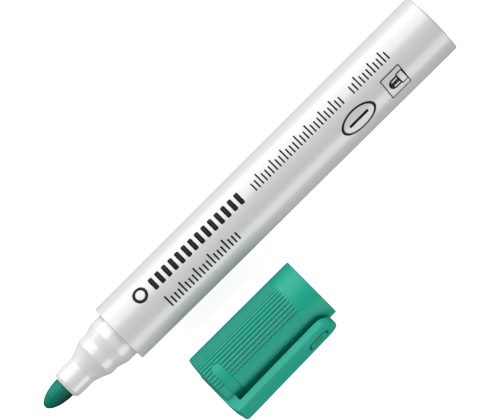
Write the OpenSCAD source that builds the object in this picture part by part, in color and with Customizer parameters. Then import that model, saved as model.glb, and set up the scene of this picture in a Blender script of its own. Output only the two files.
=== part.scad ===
// Whiteboard marker with a bullet nib, lying uncapped with its cap beside it.
// The barrel axis is +X, the nib points to -X, and the origin is the centre of the
// barrel's front rim, where the cap's mouth stops. Everything is in millimetres.

/* [Barrel] */
// Length of the barrel from its front rim to its rear edge, without the crown
barrel_len = 103.9; // [90:0.1:125]
// Outer diameter at the front rim
barrel_front_d = 16.0; // [15.6:0.1:19]
// Outer diameter at the rear edge
barrel_rear_d = 16.7; // [16.2:0.1:20]
// Wall thickness behind the front section's seat
barrel_wall = 1.2; // [0.9:0.05:1.4]
// Radius of the rear edge
rear_round = 0.8; // [0.3:0.1:1]
// How far the closed rear end is crowned
rear_crown = 0.5; // [0.1:0.1:1]
// Radius of the front rim's outer edge
rim_round = 0.25; // [0.1:0.05:0.5]
// Chamfer of the front rim's inner edge
rim_chamfer = 0.15; // [0.05:0.05:0.3]
// Number of ribs inside that centre the reservoir
barrel_ribs = 6; // [3:1:10]
// Thickness of each of those ribs
barrel_rib_t = 0.8; // [0.5:0.1:1.5]

/* [Front section] */
// How much larger the part pressed into the barrel is than the ring, in radius
seat_step = 0.2; // [0.2:0.05:0.4]
// Length pressed into the barrel
seat_len = 12; // [8:0.5:16]
// Diameter of the ring that the cap's mouth slides over
ring_d = 12.5; // [11.8:0.1:12.5]
// Length of that ring ahead of the rim
ring_len = 3.0; // [2:0.1:4.5]
// How much smaller than the ring the step ahead of it is, in radius
step_inset = 0.8; // [0.4:0.05:1.2]
// Length of the taper from the ring to the step
step_taper = 2.6; // [1.5:0.1:4]
// Length of the step
step_len = 2.35; // [1.5:0.05:4]
// Wall that the collar, which the cap seals on, has outside the air grooves
collar_wall = 0.55; // [0.4:0.05:0.8]
// Length of the concave cone from the step to the collar
cone_len = 4.1; // [3:0.1:6]
// How far the cone is hollowed
cone_sag = 0.12; // [0:0.02:0.3]
// Length of the collar
collar_len = 4.15; // [3.5:0.05:6]
// Length of the chamfer at the mouth
mouth_taper = 1.55; // [0.8:0.05:2.5]
// Wall left around the nib at the mouth
mouth_wall = 0.35; // [0.25:0.05:0.6]
// Wall of the hollow shell
nose_wall = 1.1; // [0.8:0.1:1.3]
// Wall of the inner tube around the nib, outside its air grooves
nib_tube_wall = 0.45; // [0.3:0.05:0.5]
// Number of air grooves along the nib's bore
vent_count = 4; // [2:1:6]
// Width of each air groove
vent_w = 0.9; // [0.5:0.1:1.2]
// Depth of each air groove
vent_depth = 0.5; // [0.2:0.05:0.55]

/* [Nib and reservoir] */
// Diameter of the fibre nib
nib_d = 5.5; // [5:0.1:5.8]
// Length of the nib's bullet end, which is also what stands out of the mouth
nib_bullet = 6.75; // [5:0.05:9]
// How far the nib reaches behind the front rim
nib_rear = 24; // [20:0.5:30]
// Length of the nib's pointed rear end
nib_point = 5; // [3:0.5:8]
// Radial clearance around the nib
nib_clear = 0.05; // [0.03:0.01:0.1]
// Diameter of the reservoir over its film
reservoir_d = 12.0; // [10:0.1:12]
// Length of the reservoir
reservoir_len = 80; // [60:1:80]
// Thickness of the film around the fibre
film_t = 0.2; // [0.1:0.05:0.4]
// Clearance between the reservoir and what holds it
reservoir_clear = 0.5; // [0.1:0.1:1]

/* [Tail plug] */
// Diameter of the plug's visible face
plug_face_d = 14.5; // [14.2:0.1:15]
// Radial gap around that face
plug_gap = 0.05; // [0.02:0.01:0.15]
// Thickness of the plug's face at its edge
plug_face_t = 0.8; // [0.5:0.1:1.5]
// Length of the skirt pressed into the barrel
plug_skirt = 6.5; // [4:0.5:8]
// Wall of the skirt and of the cross that stops the reservoir
plug_wall = 1.1; // [0.8:0.1:1.5]

/* [Cap] */
// Length of the cap from its mouth to its closed end's edge, without the crown
cap_len = 32.8; // [32:0.1:42]
// Outer diameter of the cap
cap_d = 16.4; // [16:0.1:18]
// Radial clearance of the cap's mouth on the ring
cap_clear = 0.05; // [0.02:0.01:0.1]
// Depth of the mouth's true bore
mouth_depth = 11.5; // [8:0.5:12]
// How much the drafted bore behind that narrows, in radius
bore_draft = 0.3; // [0.1:0.05:0.4]
// Thickness of the closed end
cap_end_t = 1.6; // [1:0.1:2.5]
// Radius of the closed end's edge
cap_round = 0.6; // [0.3:0.1:1]
// How far the closed end is crowned
cap_crown = 0.65; // [0.1:0.05:1]
// Radius of the mouth's outer edge
cap_lip = 0.3; // [0.1:0.05:0.5]
// Number of ribs inside that hold the seal
cap_ribs = 6; // [3:1:8]
// Width of each of those ribs
cap_rib_w = 0.9; // [0.5:0.1:1.5]
// Height of those ribs at the bottom of the bore
cap_rib_h = 0.4; // [0.3:0.05:0.6]

/* [Seal] */
// Wall of the seal cup
seal_wall = 1.0; // [0.7:0.1:1.3]
// Radial clearance of the seal's lip on the collar
seal_clear = 0.02; // [0.01:0.01:0.05]
// Length of the lip that rides on the collar
seal_lip = 2.0; // [1:0.1:2.5]
// Length of the lip's tapered entry
seal_entry = 1.0; // [0.5:0.1:1.5]

/* [Cap grip] */
// Angle between neighbouring grip grooves, in degrees
groove_pitch = 6.7; // [5:0.1:10]
// Angle from the clip's centre to the nearest groove, in degrees
groove_start = 52.7; // [40:0.1:70]
// Radius of the round groove cutter
groove_r = 0.42; // [0.3:0.02:0.5]
// Depth of each groove
groove_depth = 0.15; // [0.08:0.01:0.2]
// Length over which a groove fades out
groove_fade = 1.2; // [0.8:0.1:3]
// Length of the smooth collar at the mouth
smooth_len = 5.6; // [4:0.1:8]
// Width of the sunk band under the clip's root
band_w = 2.6; // [1.5:0.1:4]
// Depth of the sunk band
band_depth = 0.3; // [0.2:0.05:0.4]
// Angle from the clip's centre to each end of the band, in degrees
band_half = 90; // [60:1:110]

/* [Clip] */
// Width of the clip
clip_w = 7.0; // [4:0.1:8]
// Gap between the cap and the clip at the root
clip_root_gap = 1.75; // [0.9:0.05:2.2]
// Gap between the cap and the clip at the tip
clip_tip_gap = 1.05; // [0.3:0.05:1.6]
// Thickness of the clip at the root
clip_root_t = 1.9; // [1.8:0.05:2.4]
// Thickness of the clip at the tip
clip_tip_t = 1.9; // [1.4:0.05:2.6]
// Height of the clip's post above the closed end's edge
post_top = 2.2; // [1.8:0.1:3]
// How far the post's end face stands beyond that edge
post_out = 0.7; // [0.4:0.05:1.2]
// How far that face slants back towards the clip's corner
post_slant = 0.5; // [0:0.05:0.6]
// Radius of the root knuckle, which is the clip's outer corner
knuckle_r = 1.0; // [0.8:0.05:1.1]
// Gap between the clip and its post
flex_gap = 0.05; // [0.03:0.01:0.1]
// How far the clip's tip stays short of the cap's mouth
clip_short = 2.0; // [1:0.1:5]
// Length of the oval line pressed into the clip near its tip
oval_len = 6.2; // [4:0.1:8]
// Width of that oval
oval_w = 3.0; // [2:0.1:4]
// Breadth of the line
oval_line = 0.55; // [0.3:0.05:0.6]
// Length of the plain bar inside the oval
oval_bar_len = 2.6; // [1:0.1:2.8]
// Width of that bar
oval_bar_w = 0.6; // [0.3:0.05:0.7]
// Depth of the line and the bar
oval_depth = 0.25; // [0.1:0.05:0.4]
// Distance from the clip's tip to the oval's centre
oval_back = 5.6; // [4:0.1:8]

/* [Layout] */
// Where the loose cap's mouth plane lies behind the front rim
cap_mouth_x = 40.0; // [20:0.1:60]
// Sideways distance between the two axes
cap_offset_y = 24.2; // [20:0.1:40]
// Angle of the clip from straight up, towards the side away from the barrel
clip_azimuth = 64; // [0:1:90]

/* [Hidden] */
$fn = 96;
eps = 0.01;
white = "#ecedee";
milky = "#e2e2e0";
fibre = "#e9e6d8";
green = "#26a583";
ink = "#14735c";

barrel_front_r = barrel_front_d / 2;
barrel_rear_r = barrel_rear_d / 2;
ring_r = ring_d / 2;
seat_r = ring_r + seat_step;
rim_wall = barrel_front_r - seat_r;
rim_edge_r = min(rim_round, 0.6 * rim_wall);
rim_cut = min(rim_chamfer, 0.3 * rim_wall);
step_r = ring_r - step_inset;
nib_r = nib_d / 2;
nib_bore_r = nib_r + nib_clear;
collar_r = nib_bore_r + vent_depth + collar_wall;
mouth_bore_r = nib_r + 0.2;
mouth_r = mouth_bore_r + mouth_wall;
reservoir_r = reservoir_d / 2;
core_r = reservoir_r - film_t;
plug_face_r = plug_face_d / 2;

// Distances ahead of the rim along the front section.
ring_end = ring_len;
step_start = ring_end + step_taper;
step_end = step_start + step_len;
collar_start = step_end + cone_len;
collar_end = collar_start + collar_len;
mouth_end = collar_end + mouth_taper;
nib_tip = mouth_end + nib_bullet;
nib_tube_r = nib_bore_r + vent_depth + nib_tube_wall;

reservoir_x = seat_len + reservoir_clear;
reservoir_end = reservoir_x + reservoir_len;

cap_r = cap_d / 2;
cap_bore_r = ring_r + cap_clear;
cap_floor_r = cap_bore_r - bore_draft;
seal_r = cap_floor_r - cap_rib_h;
seal_bore_r = collar_r + seal_clear;
// Heights in the cap's own frame, from its closed end up to its mouth.
rib_top = cap_len - mouth_depth;
seal_top = min(rib_top, cap_len - collar_start - 0.4);
clip_top = cap_len - clip_short;
clip_root_in = cap_r + clip_root_gap;
clip_root_out = clip_root_in + clip_root_t;
clip_tip_in = cap_r + clip_tip_gap;
clip_tip_out = clip_tip_in + clip_tip_t;
band_low = post_top;
band_high = post_top + band_w;
knuckle_x = clip_root_out - knuckle_r;
knuckle_z = knuckle_r + post_slant - post_out;
groove_count = floor((360 - 2 * groove_start) / groove_pitch) + 1;
groove_mid = groove_r - groove_depth;
groove_end = cap_len - smooth_len;
cap_axis_z = cap_r - max(barrel_rear_r, barrel_front_r);

// Outer and bore radius of the barrel at a distance behind the rim.
function barrel_r(x) = barrel_front_r + (barrel_rear_r - barrel_front_r) * x / barrel_len;
function bore_r(x) = barrel_r(x) - barrel_wall;
function tail_crown(r) = crown(rear_crown, r, barrel_rear_r);

// Inner and outer distance of the clip from the cap's axis at a height.
function clip_in(z) = clip_root_in
    + (clip_tip_in - clip_root_in) * (z - knuckle_z) / (clip_top - knuckle_z);
function clip_out(z) = clip_root_out
    + (clip_tip_out - clip_root_out) * (z - knuckle_z) / (clip_top - knuckle_z);

// Height of a round end's crown at a distance from its axis.
function crown(h, r, edge_r) = h * (1 - pow(r / edge_r, 2));

// Points along a circular arc.
function arc(cx, cy, r, from, to, n = 6) =
    [for (i = [0:n]) let (a = from + (to - from) * i / n) [cx + r * cos(a), cy + r * sin(a)]];

// Turns the +Z axis of a child into the barrel's rearward axis.
module rearward() rotate([0, 90, 0]) children();

// Turns the +Z axis of a child into the barrel's forward axis.
module forward() rotate([0, -90, 0]) children();

// Places a child drawn in the cap's frame: closed end at the origin, mouth towards +Z,
// and the clip towards +X.
module in_cap_frame()
    translate([cap_mouth_x - cap_len, -cap_offset_y, cap_axis_z])
        rotate([0, 90, 0])
            rotate([0, 0, 180 + clip_azimuth])
                children();

// Tapered tube, open at both ends, with centring ribs inside.
module barrel() {
    seat_end = seat_len + 0.5;
    face_x = barrel_len - plug_face_t;
    hole_r = plug_face_r + plug_gap;
    edge_r = barrel_rear_r - rear_round;
    rib_x = seat_end + 1.5;
    rib_len = reservoir_end - rib_x;
    rib_in = reservoir_r + 0.05;
    color(white)
        rearward() {
            rotate_extrude()
                polygon(concat(
                    [[seat_r, rim_cut], [seat_r + rim_cut, 0]],
                    arc(barrel_front_r - rim_edge_r, rim_edge_r, rim_edge_r, -90, 0),
                    arc(edge_r, barrel_len - rear_round + tail_crown(edge_r), rear_round, 0, 90),
                    [[hole_r, barrel_len + tail_crown(hole_r)], [hole_r, face_x],
                     [bore_r(face_x), face_x],
                     [bore_r(seat_end), seat_end], [seat_r, seat_end]]));
            for (i = [0:barrel_ribs - 1])
                rotate([0, 0, i * 360 / barrel_ribs])
                    translate([rib_in, -barrel_rib_t / 2, rib_x])
                        cube([bore_r(seat_end) + barrel_wall / 2 - rib_in, barrel_rib_t, rib_len]);
        }
}

// Plug that closes the barrel's rear end and stops the reservoir.
module tail_plug() {
    face_x = barrel_len - plug_face_t;
    skirt_x = face_x - plug_skirt;
    floor_x = face_x - plug_wall;
    stop_x = reservoir_end + reservoir_clear;
    cross_r = bore_r(skirt_x) - plug_wall - 0.4;
    color(white)
        rearward() {
            rotate_extrude()
                polygon(concat(
                    [[0, floor_x], [bore_r(skirt_x) - plug_wall, floor_x],
                     [bore_r(skirt_x) - plug_wall, skirt_x], [bore_r(skirt_x), skirt_x],
                     [bore_r(face_x), face_x], [plug_face_r, face_x]],
                    [for (i = [0:6]) let (r = plug_face_r * (1 - i / 6))
                        [r, barrel_len + tail_crown(r)]]));
            for (turn = [0, 90])
                rotate([0, 0, turn])
                    translate([-cross_r, -plug_wall / 2, stop_x])
                        cube([2 * cross_r, plug_wall, floor_x - stop_x + eps]);
        }
}

// Hollow moulding that carries the nib: pressed seat, ring, step, cone and collar.
module front_section() {
    hollow_r = ring_r - nose_wall;
    hollow_step_r = step_r - nose_wall;
    color(milky)
        forward()
            difference() {
                rotate_extrude()
                    polygon(concat(
                        [[nib_bore_r, -seat_len], [nib_tube_r, -seat_len],
                         [nib_tube_r, step_end - nose_wall],
                         [hollow_step_r, step_end - nose_wall],
                         [hollow_step_r, step_start], [hollow_r, ring_end],
                         [hollow_r, -seat_len], [seat_r, -seat_len],
                         [seat_r, 0], [ring_r, 0], [ring_r, ring_end - 0.15],
                         [ring_r - 0.1, ring_end],
                         [step_r + 0.06, step_start - 0.3], [step_r, step_start + 0.1],
                         [step_r, step_end]],
                        [for (t = [0.2:0.2:0.8])
                            [step_r + (collar_r - step_r) * t - cone_sag * sin(180 * t),
                             step_end + cone_len * t]],
                        [[collar_r, collar_start], [collar_r, collar_end],
                         [(collar_r + mouth_r) / 2 + 0.15, (collar_end + mouth_end) / 2],
                         [mouth_r, mouth_end - 0.1],
                         [mouth_r - 0.1, mouth_end], [mouth_bore_r, mouth_end],
                         [mouth_bore_r, collar_end], [nib_bore_r, collar_end]]));
                for (i = [0:vent_count - 1])
                    rotate([0, 0, (i + 0.5) * 360 / vent_count])
                        translate([0, -vent_w / 2, -seat_len - 1])
                            cube([nib_bore_r + vent_depth, vent_w, seat_len + collar_end + 1 + eps]);
            }
}

// Fibre rod with a bullet end outside and a pointed end in the reservoir.
module nib() {
    color(ink)
        forward()
            rotate_extrude()
                polygon(concat(
                    [[0, -nib_rear], [nib_r * 0.35, -nib_rear], [nib_r, nib_point - nib_rear]],
                    [for (a = [0:9:90]) [nib_r * cos(a), mouth_end + nib_bullet * sin(a)]]));
}

// Ink-holding fibre with a socket that the nib's pointed end sits in.
module reservoir_core() {
    socket_r = nib_r + nib_clear;
    color(fibre)
        rearward()
            rotate_extrude()
                polygon([[socket_r, reservoir_x], [core_r, reservoir_x], [core_r, reservoir_end],
                         [0, reservoir_end], [0, nib_rear + nib_clear],
                         [nib_r * 0.35 + nib_clear, nib_rear + nib_clear],
                         [socket_r, nib_rear - nib_point + nib_clear]]);
}

// Film wrapped around the fibre.
module reservoir_film() {
    color("white", 0.6)
        rearward()
            translate([0, 0, reservoir_x])
                difference() {
                    cylinder(h = reservoir_len, r = reservoir_r);
                    translate([0, 0, -1]) cylinder(h = reservoir_len + 2, r = core_r);
                }
}

// One grip groove, cut from the closed end and fading out before the mouth.
module groove() {
    translate([cap_r + groove_mid, 0, -1])
        cylinder(h = groove_end - groove_fade + 1, r = groove_r);
    translate([cap_r + groove_mid, 0, groove_end - groove_fade - eps])
        cylinder(h = groove_fade, r1 = groove_r, r2 = groove_mid - 0.02);
}

// Sunk band with round ends that runs under the clip's root.
module band_cut() {
    end_r = band_w / 2;
    half = band_half - asin(end_r / cap_r);
    mid_z = (band_low + band_high) / 2;
    intersection() {
        difference() {
            cylinder(h = cap_len, r = cap_r + 1);
            translate([0, 0, -1]) cylinder(h = cap_len + 2, r = cap_r - band_depth);
        }
        union() {
            rotate([0, 0, -half])
                rotate_extrude(angle = 2 * half)
                    translate([cap_r - 2, band_low]) square([4, band_w]);
            for (side = [-half, half])
                rotate([0, 0, side])
                    translate([0, 0, mid_z])
                        rotate([0, 90, 0])
                            cylinder(h = cap_r + 2, r = end_r);
        }
    }
}

// Post that stands out of the cap's closed end, with a round seat for the clip's root.
// It starts as a flat bar at the middle of the closed end.
module clip_post() {
    inner_x = (cap_floor_r + cap_r) / 2;
    low = -post_out - 1;
    difference() {
        intersection() {
            rotate([90, 0, 0])
                linear_extrude(height = clip_w + 2, center = true)
                    polygon([[-clip_w, cap_end_t / 2], [-clip_w, -post_out], [cap_r, -post_out],
                             [knuckle_x, post_slant - post_out], [knuckle_x, post_top],
                             [inner_x, post_top], [inner_x, cap_end_t / 2]]);
            union() {
                translate([0, 0, low]) cylinder(h = post_top - low, r = clip_w / 2);
                translate([0, -clip_w / 2, low]) cube([knuckle_x, clip_w, post_top - low]);
            }
        }
        translate([knuckle_x, 0, knuckle_z])
            rotate([90, 0, 0])
                cylinder(h = clip_w + 2, r = knuckle_r + flex_gap, center = true);
        rotate_extrude()
            polygon([[clip_in(knuckle_z) - flex_gap, knuckle_z - flex_gap],
                     [clip_root_out + 1, knuckle_z - flex_gap],
                     [clip_root_out + 1, post_top + 1],
                     [clip_in(post_top + 1) - flex_gap, post_top + 1]]);
    }
}

// Closed cap with grip grooves outside, ribs inside, and the clip's post.
module cap_shell() {
    rib_in = seal_r;
    edge_r = cap_r - cap_round;
    color(green)
        in_cap_frame() {
            difference() {
                rotate_extrude()
                    polygon(concat(
                        [[0, cap_end_t]],
                        [for (i = [0:5]) let (r = edge_r * i / 6) [r, -crown(cap_crown, r, cap_r)]],
                        arc(edge_r, cap_round - crown(cap_crown, edge_r, cap_r), cap_round, -90, 0),
                        arc(cap_r - cap_lip, cap_len - cap_lip, cap_lip, 0, 90),
                        [[cap_bore_r + 0.2, cap_len], [cap_bore_r, cap_len - 0.2],
                         [cap_bore_r, rib_top], [cap_floor_r, cap_end_t]]));
                for (i = [0:groove_count - 1])
                    rotate([0, 0, groove_start + i * groove_pitch]) groove();
                band_cut();
            }
            for (i = [0:cap_ribs - 1])
                rotate([0, 0, (i + 0.5) * 360 / cap_ribs])
                    translate([rib_in, -cap_rib_w / 2, cap_end_t - eps])
                        cube([cap_bore_r + 0.3 - rib_in, cap_rib_w, rib_top - cap_end_t + eps]);
            clip_post();
        }
}

// Cup inside the cap whose lip seals on the front section's collar.
module inner_seal() {
    chamber_r = seal_r - seal_wall;
    lip_low = seal_top - seal_entry - seal_lip;
    color("#dfe6e2")
        in_cap_frame()
            rotate_extrude()
                polygon([[0, cap_end_t], [seal_r, cap_end_t], [seal_r, seal_top],
                         [chamber_r, seal_top], [seal_bore_r, seal_top - seal_entry],
                         [seal_bore_r, lip_low], [chamber_r, lip_low],
                         [chamber_r, cap_end_t + seal_wall], [0, cap_end_t + seal_wall]]);
}

// Plan outline of the clip seen from outside, from its knuckle to its round tip.
module clip_outline() {
    low = knuckle_z - knuckle_r;
    translate([-clip_w / 2, low]) square([clip_w, clip_top - clip_w / 2 - low]);
    translate([0, clip_top - clip_w / 2]) circle(r = clip_w / 2);
}

// Turns a plan outline into a bar along +X, with the outline's Y as height.
module from_plan(from, to)
    translate([from, 0, 0])
        rotate([90, 0, 90])
            linear_extrude(height = to - from) children();

// Cutter with round ends, centred where the clip's oval lies.
module oval_cutter(size_z, size_y) {
    run = size_z - size_y;
    mid_z = clip_top - oval_back;
    from_plan(clip_tip_in, clip_root_out + 1) {
        translate([-size_y / 2, mid_z - run / 2]) square([size_y, run]);
        for (side = [-1, 1])
            translate([0, mid_z + side * run / 2]) circle(r = size_y / 2);
    }
}

// Line along the oval, and the plain bar inside it.
module oval_mark() {
    difference() {
        oval_cutter(oval_len, oval_w);
        oval_cutter(oval_len - 2 * oval_line, oval_w - 2 * oval_line);
    }
    oval_cutter(oval_bar_len, oval_bar_w);
}

// Springy clip: a curved bar on a round root knuckle.
module clip() {
    color(green)
        in_cap_frame()
            difference() {
                intersection() {
                    union() {
                        rotate_extrude()
                            polygon([[clip_in(knuckle_z), knuckle_z],
                                     [clip_out(knuckle_z), knuckle_z],
                                     [clip_out(clip_top), clip_top],
                                     [clip_in(clip_top), clip_top]]);
                        intersection() {
                            translate([0, 0, knuckle_z - knuckle_r])
                                cylinder(h = 2 * knuckle_r, r = clip_root_out);
                            translate([knuckle_x, 0, knuckle_z])
                                rotate([90, 0, 0])
                                    cylinder(h = clip_w + 2, r = knuckle_r, center = true);
                        }
                    }
                    from_plan(clip_tip_in - 2, clip_root_out + 1) clip_outline();
                }
                intersection() {
                    oval_mark();
                    rotate_extrude()
                        polygon([[clip_out(knuckle_z) - oval_depth, knuckle_z],
                                 [clip_root_out + 1, knuckle_z],
                                 [clip_root_out + 1, clip_top],
                                 [clip_out(clip_top) - oval_depth, clip_top]]);
                }
            }
}

barrel();
tail_plug();
front_section();
nib();
reservoir_core();
reservoir_film();
cap_shell();
inner_seal();
clip();
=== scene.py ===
"""Whiteboard marker lying uncapped with its cap beside it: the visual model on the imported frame.

Lengths are in metres in the row frame: +X runs from the nib to the tail, +Z is up, and the
origin is the centre of the barrel's front rim.
"""
import math

import bmesh
import bpy
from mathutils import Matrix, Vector, noise


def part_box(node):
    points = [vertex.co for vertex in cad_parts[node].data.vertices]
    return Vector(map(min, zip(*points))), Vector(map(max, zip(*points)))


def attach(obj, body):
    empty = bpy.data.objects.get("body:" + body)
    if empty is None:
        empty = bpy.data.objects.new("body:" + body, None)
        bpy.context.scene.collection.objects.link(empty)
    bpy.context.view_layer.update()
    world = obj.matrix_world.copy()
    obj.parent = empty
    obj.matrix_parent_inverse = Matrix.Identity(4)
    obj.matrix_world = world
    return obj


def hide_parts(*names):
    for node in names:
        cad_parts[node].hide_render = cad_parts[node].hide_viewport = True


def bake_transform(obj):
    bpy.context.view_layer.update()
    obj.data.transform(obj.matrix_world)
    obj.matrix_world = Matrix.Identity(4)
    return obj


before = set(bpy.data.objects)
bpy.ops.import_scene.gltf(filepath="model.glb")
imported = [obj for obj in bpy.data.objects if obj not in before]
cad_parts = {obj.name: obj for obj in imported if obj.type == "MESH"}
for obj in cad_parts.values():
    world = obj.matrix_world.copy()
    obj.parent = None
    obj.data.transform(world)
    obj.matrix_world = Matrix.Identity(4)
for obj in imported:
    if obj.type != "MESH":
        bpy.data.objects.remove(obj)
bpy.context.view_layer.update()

MM = 0.001
TURNS = 192

# ---------------------------------------------------------------- sizes from the frame

barrel_low, barrel_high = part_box("barrel")
_, plug_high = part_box("tail_plug")
front_low, front_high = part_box("front_section")
nib_low, nib_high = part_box("nib")
cap_low, cap_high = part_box("cap_shell")
_, seal_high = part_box("inner_seal")
_, clip_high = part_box("clip")

# Marker: distances along its axis, and radii about it.
RIM_X = barrel_low.x
RIM_R = 8.0 * MM
REAR_R = barrel_high.z
CROWN = 0.5 * MM
REAR_X = plug_high.x - CROWN
PLUG_FACE_T = 0.8 * MM
SEAT_R = front_high.z
SEAT_END = front_high.x
MOUTH_X = front_low.x
NIB_R = nib_high.z
NIB_TIP = nib_low.x
NIB_REAR = nib_high.x

# Cap: its axis, its closed end's edge, from which heights are counted, and how far the clip's
# post stands out beyond that edge.
CAP_R = (cap_high.z - cap_low.z) / 2
CAP_Y = cap_high.y - CAP_R
CAP_Z = cap_low.z + CAP_R
POST_OUT = 0.7 * MM
CAP_BASE = cap_low.x + POST_OUT
CAP_LEN = cap_high.x - CAP_BASE
CAP_CROWN = 0.65 * MM
CLIP_TURN = math.radians(64)
CLIP_TIP = clip_high.x - CAP_BASE

FLOOR_Z = barrel_low.z
# Name of the vertex attribute that carries the painted shade in the cap's flutes.
FLUTE_SHADE_ATTRIBUTE = "flute_painted_shade"


# ---------------------------------------------------------------- small mesh tools

def lerp(a, b, t):
    """Value at a share t of the way from a to b."""
    return a + (b - a) * t


def smoothstep(a, b, x):
    """Smooth rise from 0 where x is a to 1 where x is b."""
    t = min(1.0, max(0.0, (x - a) / (b - a)))
    return t * t * (3 - 2 * t)


def make_piece(name, verts, faces, material, body=None, replaces=()):
    """A smooth-shaded mesh piece that rides on a body and stands for CAD nodes."""
    mesh = bpy.data.meshes.new(name)
    mesh.from_pydata([tuple(v) for v in verts], [], faces)
    mesh.validate()
    made = bmesh.new()
    made.from_mesh(mesh)
    bmesh.ops.recalc_face_normals(made, faces=made.faces)
    made.to_mesh(mesh)
    made.free()
    mesh.polygons.foreach_set("use_smooth", [True] * len(mesh.polygons))
    mesh.materials.append(material)
    piece = bpy.data.objects.new(name, mesh)
    bpy.context.scene.collection.objects.link(piece)
    if body:
        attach(piece, body)
    if replaces:
        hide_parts(*replaces)
    return piece


def soften(corners, closed, steps=5):
    """Rounds each corner (along, radius, rounding) and adds a support point beside each arc."""
    count = len(corners)
    out = []
    for i, (a, r, rounding) in enumerate(corners):
        at = Vector((a, r))
        if not closed and i in (0, count - 1):
            out.append(at)
            continue
        before = Vector(corners[i - 1][:2]) - at
        after = Vector(corners[(i + 1) % count][:2]) - at
        if rounding <= 0 or before.length < 1e-9 or after.length < 1e-9:
            out.append(at)
            continue
        half = before.angle(after) / 2
        reach = min(rounding / math.tan(half), 0.45 * before.length, 0.45 * after.length)
        start, end = at + before.normalized() * reach, at + after.normalized() * reach
        pad = 0.35 * reach
        out.append(start + before.normalized() * min(pad, 0.02 * before.length + pad / 4))
        for k in range(steps + 1):
            t = k / steps
            out.append(start * (1 - t) ** 2 + at * 2 * t * (1 - t) + end * t ** 2)
        out.append(end + after.normalized() * min(pad, 0.02 * after.length + pad / 4))
    return out


def ring_faces(rings, turns, closed, first_pole, last_pole):
    """Quads between rings of vertices, with triangle fans to poles where asked."""
    faces = []
    spans = rings if closed else rings - 1
    for i in range(spans):
        a, b = i * turns, (i + 1) % rings * turns
        for k in range(turns):
            n = (k + 1) % turns
            faces.append((a + k, a + n, b + n, b + k))
    if first_pole is not None:
        faces += [(first_pole, (k + 1) % turns, k) for k in range(turns)]
    if last_pole is not None:
        a = (rings - 1) * turns
        faces += [(last_pole, a + k, a + (k + 1) % turns) for k in range(turns)]
    return faces


def lathe(outline, centre, reshape=None):
    """Turns an outline of (along, radius) points about the X axis through centre.

    An outline that starts and ends on the axis gets poles; any other is a closed ring.
    reshape(along, radius, angle, index) gives a vertex its own along and radius.
    """
    outline = [Vector(p) for p in outline]
    poles = outline[0].y < 1e-9
    body = outline[1:-1] if poles else outline
    verts = []
    for i, (a, r) in enumerate(body):
        for k in range(TURNS):
            angle = 2 * math.pi * k / TURNS
            x, radius = reshape(a, r, angle, i) if reshape else (a, r)
            verts.append((x, centre[0] + radius * math.cos(angle),
                          centre[1] + radius * math.sin(angle)))
    first = last = None
    if poles:
        first, last = len(verts), len(verts) + 1
        verts += [(outline[0].x, *centre), (outline[-1].x, *centre)]
    return verts, ring_faces(len(body), TURNS, not poles, first, last)


# ---------------------------------------------------------------- materials

def shader(name, base, roughness, **sockets):
    """A node material with its Principled shader, and the tree to hang detail on."""
    material = bpy.data.materials.new(name)
    material.use_nodes = True
    tree = material.node_tree
    principled = tree.nodes["Principled BSDF"]
    principled.inputs["Base Color"].default_value = (*base, 1)
    principled.inputs["Roughness"].default_value = roughness
    for socket, value in sockets.items():
        principled.inputs[socket.replace("_", " ")].default_value = value
    return material, tree, principled


def add_noise(tree, scale, detail=4.0, stretch=(1, 1, 1), roughness=0.55):
    """Noise in object space, in cells per metre, stretched along the axes as asked."""
    coords = tree.nodes.new("ShaderNodeTexCoord")
    mapping = tree.nodes.new("ShaderNodeMapping")
    mapping.inputs["Scale"].default_value = stretch
    texture = tree.nodes.new("ShaderNodeTexNoise")
    texture.inputs["Scale"].default_value = scale
    texture.inputs["Detail"].default_value = detail
    texture.inputs["Roughness"].default_value = roughness
    tree.links.new(coords.outputs["Object"], mapping.inputs["Vector"])
    tree.links.new(mapping.outputs["Vector"], texture.inputs["Vector"])
    return texture.outputs["Fac"]


def add_ramp(tree, source, stops):
    """Colour ramp of (position, colour) stops on a grey source."""
    ramp = tree.nodes.new("ShaderNodeValToRGB")
    elements = ramp.color_ramp.elements
    while len(elements) < len(stops):
        elements.new(0.5)
    for element, (position, colour) in zip(elements, stops):
        element.position = position
        element.color = (*colour, 1)
    tree.links.new(source, ramp.inputs["Fac"])
    return ramp.outputs["Color"]


def add_range(tree, source, low, high):
    """Maps a grey source from 0.3..0.7 onto low..high."""
    node = tree.nodes.new("ShaderNodeMapRange")
    node.inputs["From Min"].default_value = 0.3
    node.inputs["From Max"].default_value = 0.7
    node.inputs["To Min"].default_value = low
    node.inputs["To Max"].default_value = high
    tree.links.new(source, node.inputs["Value"])
    return node.outputs["Result"]


def add_bump(tree, principled, source, depth, before=None):
    """Bump of a depth in metres on the shader's normal, after an earlier bump if given."""
    bump = tree.nodes.new("ShaderNodeBump")
    bump.inputs["Strength"].default_value = 1.0
    bump.inputs["Distance"].default_value = depth
    tree.links.new(source, bump.inputs["Height"])
    if before:
        tree.links.new(before, bump.inputs["Normal"])
    tree.links.new(bump.outputs["Normal"], principled.inputs["Normal"])
    return bump.outputs["Normal"]


def add_scale(tree, colour, factor):
    """Multiplies a colour by a grey source."""
    scale = tree.nodes.new("ShaderNodeVectorMath")
    scale.operation = "SCALE"
    tree.links.new(colour, scale.inputs[0])
    tree.links.new(factor, scale.inputs["Scale"])
    return scale.outputs["Vector"]


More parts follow.
